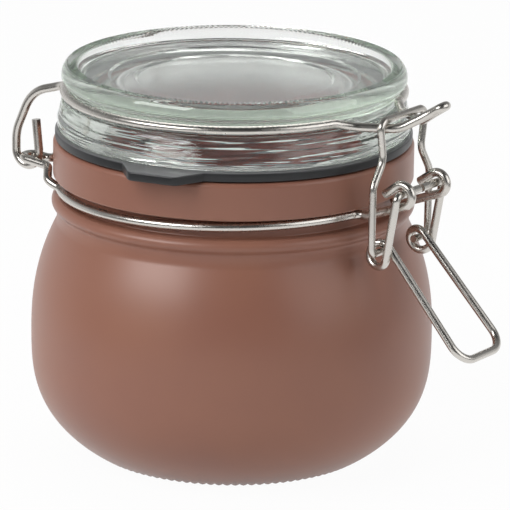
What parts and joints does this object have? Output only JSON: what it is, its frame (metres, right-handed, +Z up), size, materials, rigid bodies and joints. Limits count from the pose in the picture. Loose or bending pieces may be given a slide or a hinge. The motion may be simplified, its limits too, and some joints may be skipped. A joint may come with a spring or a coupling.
{
  "type": "lidded storage jar",
  "caption": "Squat brown-coated glass jar with a clear glass lid on a rubber gasket, wire hinges at the back and an over-centre wire clamp at the front.",
  "frame": {"origin": "on the surface that the jar stands on, under the middle of its length and width", "axes": "+X from the hinge towards the clamp's handle, along the longest side; +Z up; Y across the clamp"},
  "size_m": [0.1372, 0.1076, 0.105],
  "materials": {
    "brown_coated_glass": "satin brown coating over glass, opaque",
    "clear_glass": "clear pressed glass with a faint green cast",
    "dark_rubber": "smooth dark grey rubber",
    "steel_wire": "bright drawn stainless wire"
  },
  "bodies": {
    "jar": {"jar_body": "brown_coated_glass", "neck_ring_wire": "steel_wire"},
    "lid": {"glass_lid": "clear_glass", "rubber_gasket": "dark_rubber", "lid_ring_wire": "steel_wire"},
    "lever": {"lever_wire": "steel_wire"},
    "link": {"clamp_link": "steel_wire"}
  },
  "joints": [
    {"name": "lid_hinge", "type": "hinge", "parent": "jar", "child": "lid", "pos_m": [-0.064, 0, 0.07634], "axis": [0, -1, 0], "range_deg": [0, 185]},
    {"name": "lever_pivot", "type": "hinge", "parent": "jar", "child": "lever", "pos_m": [0.0469, 0, 0.08085], "axis": [0, -1, 0], "range_deg": [0, 150]},
    {"name": "link_pivot", "type": "hinge", "parent": "lever", "child": "link", "pos_m": [0.0409, 0, 0.06475], "axis": [0, -1, 0], "range_deg": [-360, 0]}
  ],
  "couplings": [
    {"joint": "link_pivot", "follows": "lever_pivot", "ratio": -2.38}
  ]
}
